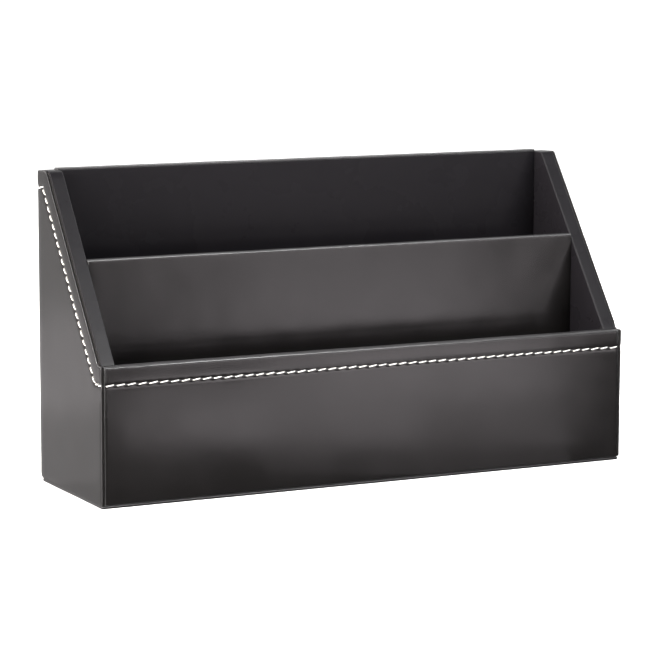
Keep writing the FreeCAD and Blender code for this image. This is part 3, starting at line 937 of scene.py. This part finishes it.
class RACK_OT_stitching(bpy.types.Operator):
    """Make the white stitches on the front, the back and both sides"""

    bl_idname = "rack.stitching"
    bl_label = "Stitching"

    def thread(self, width, rings=9, around=9):
        """One stitch along X: a twisted thread that comes out of the leather and goes back in."""
        plies, ply_relief, half_twist = 3, 0.10, 1.9
        crown, dive, end_taper, flatness = 0.06, 0.62, 0.25, 0.43
        bm = bmesh.new()
        ring = bmesh.ops.create_circle(bm, cap_ends=True, cap_tris=False, segments=around,
                                       radius=1.0)["verts"]
        bmesh.ops.rotate(bm, verts=ring, cent=(0, 0, 0), matrix=Matrix.Rotation(math.pi / 2, 3, "Y"))
        for i in range(1, rings):
            caps = [f for f in bm.faces if all(v.co.x > i - 1.5 for v in f.verts)]
            grown = bmesh.ops.extrude_face_region(bm, geom=caps if i > 1 else bm.faces[:])["geom"]
            new = [g for g in grown if isinstance(g, bmesh.types.BMVert)]
            bmesh.ops.translate(bm, vec=(1, 0, 0), verts=new)
            if i > 1:
                bmesh.ops.delete(bm, geom=[f for f in caps if f.is_valid], context="FACES_ONLY")
        for v in bm.verts:
            t = 2 * v.co.x / (rings - 1) - 1
            turn = math.atan2(v.co.z, v.co.y)
            lobe = 1 + ply_relief * math.cos(plies * turn)
            twist = turn + half_twist * t
            slim = 1 - end_taper * abs(t) ** 4
            rise = crown - dive * abs(t) ** 5
            ease = math.copysign(abs(t) ** 0.85, t)
            v.co = Vector((ease / 2, width / 2 * lobe * slim * math.cos(twist),
                           rise + width * flatness * lobe * slim * math.sin(twist)))
        bmesh.ops.recalc_face_normals(bm, faces=bm.faces[:])
        mesh = bpy.data.meshes.new("stitch")
        bm.to_mesh(mesh)
        bm.free()
        return mesh

    def execute(self, context):
        stitching = context.scene.rack_stitching
        material = made("Waxed polyester thread", polyester_thread, tuple(stitching.colour))
        template = self.thread(stitching.width)
        side, rim = side_path(stitching), RIM_Z - stitching.rim_drop
        top = SIDE_TOP_Z - stitching.top_drop
        rows = {
            "front": (Vector((0, -1, 0)), stitching.rim_pitch,
                      [(x, FRONT_Y, z) for x, z in wide_path(stitching, rim)]),
            "back": (Vector((0, 1, 0)), stitching.rim_pitch,
                     [(-x, BACK_Y, z) for x, z in wide_path(stitching, top)]),
            "left": (Vector((-1, 0, 0)), stitching.slope_pitch, [(-HALF_WIDTH, y, z) for y, z in side]),
            "right": (Vector((1, 0, 0)), stitching.slope_pitch, [(HALF_WIDTH, y, z) for y, z in side]),
        }
        for seed, (panel_name, (out, pitch, path)) in enumerate(rows.items()):
            chance = random.Random(seed)
            bm = bmesh.new()
            for middle, along, step in spaced(path, pitch):
                length = (step - stitching.space) * (1 + chance.uniform(-0.04, 0.05))
                turn = stitching.slant + math.radians(chance.uniform(-2.0, 2.0))
                along = Quaternion(out, turn) @ along
                across = out.cross(along)
                middle = middle + across * chance.uniform(-0.12, 0.12) + out * chance.uniform(-0.06, 0.0)
                stand = Matrix((along * length, across, out)).transposed().to_4x4()
                stand.translation = middle
                start = len(bm.verts)
                bm.from_mesh(template)
                bm.verts.ensure_lookup_table()
                bmesh.ops.transform(bm, matrix=stand, verts=bm.verts[start:])
            finish_piece(bm, f"{panel_name}_thread", [material], [f"{panel_name}_stitching"])
        bpy.data.meshes.remove(template)
        return {"FINISHED"}


class RACK_OT_boards(bpy.types.Operator):
    """Give the boards under the leather their dyed fibreboard finish"""

    bl_idname = "rack.boards"
    bl_label = "Boards"

    def execute(self, context):
        material = made("Dyed fibreboard", dyed_fibreboard, tuple(context.scene.rack_leather.board_colour))
        for name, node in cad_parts.items():
            if name.endswith("_board"):
                node.data.materials.clear()
                node.data.materials.append(material)
        return {"FINISHED"}


# ---------------------------------------------------------------- stage


# The soft lights: the place of each, what it points at, its size, its power and its colour.
WARM, WHITE, ROSE = (1.0, 0.945, 0.9), (1.0, 1.0, 1.0), (1.0, 0.93, 0.96)
LAMPS = (
    ("left_lamp", (-1.3, 0, 0.35), (0, 0, 0.1), (0.6, 0.5), 90.0, WARM),
    ("left_front_lamp", (-1.1, -0.6, 0.5), (0, 0, 0.1), (0.6, 0.5), 12.0, WARM),
    ("front_lamp", (0.45, -0.70, 1.1), (0.45, -0.70, 0), (0.5, 0.35), 31.7, WHITE),
    ("right_lamp", (1.5, 0, 0.8), (0, 0, 0.1), (0.9, 0.9), 12.0, WHITE),
    ("back_lamp", (0.9, 1.0, 1.2), (0, 0, 0), (1.0, 1.0), 4.7, WHITE),
)
# Reflectors that only show as a sheen on the leather. Those on the floor lie in rows, each from and to a
# distance from the rack, in metres, with the brightness of its left, middle and right part.
SHEEN_TURN = math.radians(27.5)
SHEEN_START = Vector((-0.016, FRONT_Y * MM, 0.002))
SHEEN_WIDTH, SHEEN_SPREAD = 0.22, 0.10
SHEEN_ROWS = (
    (0.02, 0.10, (0.0, 0.75, 0.8)),
    (0.10, 0.25, (6.90, 4.70, 2.40)),
    (0.25, 0.45, (1.0, 7.40, 7.40)),
    (0.45, 0.75, (2.6, 6.40, 7.60)),
)
# The others, with the place of each, the way it faces, its size and its brightness.
SHEEN_ALONG = Vector((math.sin(SHEEN_TURN), -math.cos(SHEEN_TURN), 0))
SHEEN_CARDS = (
    ("front_card", SHEEN_START + SHEEN_ALONG * 1.6 + Vector((0, 0, 0.15)), -SHEEN_ALONG, (0.6, 0.3), 10.8),
    ("left_slope_card", (0.42, -0.68, 1.1), (0, 0, -1), (0.28, 0.28), 2.03),
    ("right_slope_card", (0.68, -0.60, 1.1), (0, 0, -1), (0.24, 0.4), 4.8),
    ("left_card_near", (-0.203, 0.125, 0.002), (0, 0, 1), (0.3, 0.22), 0.22),
    ("left_card_far", (-0.332, 0.379, 0.002), (0, 0, 1), (0.3, 0.35), 0.7),
)


def toward(place, aim):
    """The turn that points a lamp at a place."""
    return (Vector(aim) - Vector(place)).to_track_quat("-Z", "Y")


class RACK_OT_stage(bpy.types.Operator):
    """Make the floor, the soft lights, the room light and the camera"""

    bl_idname = "rack.stage"
    bl_label = "Stage"

    def light(self, name, place, turn, size, power, colour, sheen_only=False):
        """A rectangular soft light, which shines along its own -Z."""
        data = bpy.data.lights.new(name, "AREA")
        data.shape = "RECTANGLE"
        data.size, data.size_y = size
        data.energy = power
        data.color = colour
        lamp = new_object(name, data)
        lamp.location = place
        lamp.rotation_euler = turn.to_euler()
        lamp.visible_camera = False
        lamp.visible_diffuse = not sheen_only

    def room(self, stage):
        """A white room, brightest straight above the rack and straight behind it."""
        world = bpy.data.worlds.new("White room")
        world.use_nodes = True
        tree = world.node_tree
        way = add(tree, "ShaderNodeTexCoord").outputs["Generated"]
        total = 0.0
        for side, brightness in (((0, 0, 1), stage.room_top), ((0, 1, 0), stage.room_back)):
            facing = add(tree, "ShaderNodeVectorMath", {"operation": "DOT_PRODUCT"},
                         {0: way, 1: side}).outputs["Value"]
            seen = add(tree, "ShaderNodeMath", {"operation": "MAXIMUM"}, {0: facing, 1: 0.0}).outputs[0]
            square = add(tree, "ShaderNodeMath", {"operation": "POWER"}, {0: seen, 1: 2.0}).outputs[0]
            total = add(tree, "ShaderNodeMath", {"operation": "MULTIPLY_ADD"},
                        {0: square, 1: brightness, 2: total}).outputs[0]
        background = tree.nodes["Background"]
        background.inputs["Color"].default_value = (1, 1, 1, 1)
        tree.links.new(total, background.inputs["Strength"])
        bpy.context.scene.world = world

    def reflector(self, stage, name, place, turn, size, brightness):
        """A reflector of a given brightness, seen only as a sheen."""
        self.light(name, place, turn, size, stage.sheen * brightness * math.pi * size[0] * size[1], ROSE,
                   sheen_only=True)

    def reflectors(self, stage):
        """The reflectors on the floor in front of the rack, and those around it."""
        across = Vector((math.cos(SHEEN_TURN), math.sin(SHEEN_TURN), 0))
        turn = Quaternion((0, 0, 1), SHEEN_TURN - math.pi / 2) @ Quaternion((1, 0, 0), math.pi)
        for row, (near, far, levels) in enumerate(SHEEN_ROWS):
            width = SHEEN_WIDTH + SHEEN_SPREAD * (near + far) / 2
            for column, level in enumerate(levels):
                if level:
                    place = SHEEN_START + SHEEN_ALONG * (near + far) / 2 + across * width * (column - 1) / 3
                    self.reflector(stage, f"floor_card_{row + 1}{column + 1}", place, turn,
                                   (far - near, width / 3), level)
        for name, place, facing, size, level in SHEEN_CARDS:
            self.reflector(stage, name, place, toward((0, 0, 0), facing), size, level)

    def execute(self, context):
        stage = context.scene.rack_stage
        scene = context.scene

        bm = bmesh.new()
        bmesh.ops.create_grid(bm, x_segments=8, y_segments=8, size=9.0)
        mesh = bpy.data.meshes.new("floor")
        bm.to_mesh(mesh)
        bm.free()
        # Matt white board: it spreads light evenly and takes soft shadows.
        material, tree, output = new_material("Matt white board")
        board = add(tree, "ShaderNodeBsdfPrincipled", None,
                    {"Base Color": (*stage.floor_colour, 1), "Roughness": 0.9, "IOR": 1.45}).outputs["BSDF"]
        tree.links.new(board, output.inputs["Surface"])
        mesh.materials.append(material)
        floor = new_object("floor", mesh)
        floor.visible_glossy = False

        self.room(stage)
        for name, place, aim, size, power, colour in LAMPS:
            self.light(name, place, toward(place, aim), size, stage.lamps * power, colour)
        self.reflectors(stage)

        data = bpy.data.cameras.new("camera")
        data.sensor_width = 36
        data.lens = stage.lens
        camera = new_object("camera", data)
        camera.location = stage.camera_place
        look = toward(stage.camera_place, stage.camera_target)
        camera.rotation_euler = (look @ Quaternion((0, 0, 1), stage.camera_roll)).to_euler()
        scene.camera = camera
        scene.view_settings.view_transform = "Standard"
        return {"FINISHED"}


# ---------------------------------------------------------------- panel and registration


class RACK_PT_panel(bpy.types.Panel):
    """Sidebar panel with the settings and one button for each group of pieces"""

    bl_idname = "RACK_PT_panel"
    bl_label = "Envelope Sorter"
    bl_space_type = "VIEW_3D"
    bl_region_type = "UI"
    bl_category = "Rack"

    def draw(self, context):
        for group in (context.scene.rack_leather, context.scene.rack_stitching, context.scene.rack_stage):
            box = self.layout.box()
            for name in group.__annotations__:
                box.prop(group, name)
        for operator in OPERATORS:
            self.layout.operator(operator.bl_idname)


OPERATORS = (
    RACK_OT_stage,
    RACK_OT_boards,
    RACK_OT_base_sheet,
    RACK_OT_side_leather,
    RACK_OT_side_lining,
    RACK_OT_front_leather,
    RACK_OT_back_leather,
    RACK_OT_divider_leather,
    RACK_OT_pocket_linings,
    RACK_OT_stitching,
)
GROUPS = {"rack_leather": RackLeather, "rack_stitching": RackStitching, "rack_stage": RackStage}


def register():
    for group in (*GROUPS.values(), *OPERATORS, RACK_PT_panel):
        bpy.utils.register_class(group)
    for name, group in GROUPS.items():
        setattr(bpy.types.Scene, name, bpy.props.PointerProperty(type=group))


def unregister():
    for name in GROUPS:
        delattr(bpy.types.Scene, name)
    for group in reversed((*GROUPS.values(), *OPERATORS, RACK_PT_panel)):
        bpy.utils.unregister_class(group)


def main():
    """Make every piece in turn."""
    register()
    bpy.ops.rack.stage()
    bpy.ops.rack.boards()
    bpy.ops.rack.base_sheet()
    bpy.ops.rack.side_leather()
    bpy.ops.rack.side_lining()
    bpy.ops.rack.front_leather()
    bpy.ops.rack.back_leather()
    bpy.ops.rack.divider_leather()
    bpy.ops.rack.pocket_linings()
    bpy.ops.rack.stitching()


if __name__ == "__main__":
    main()
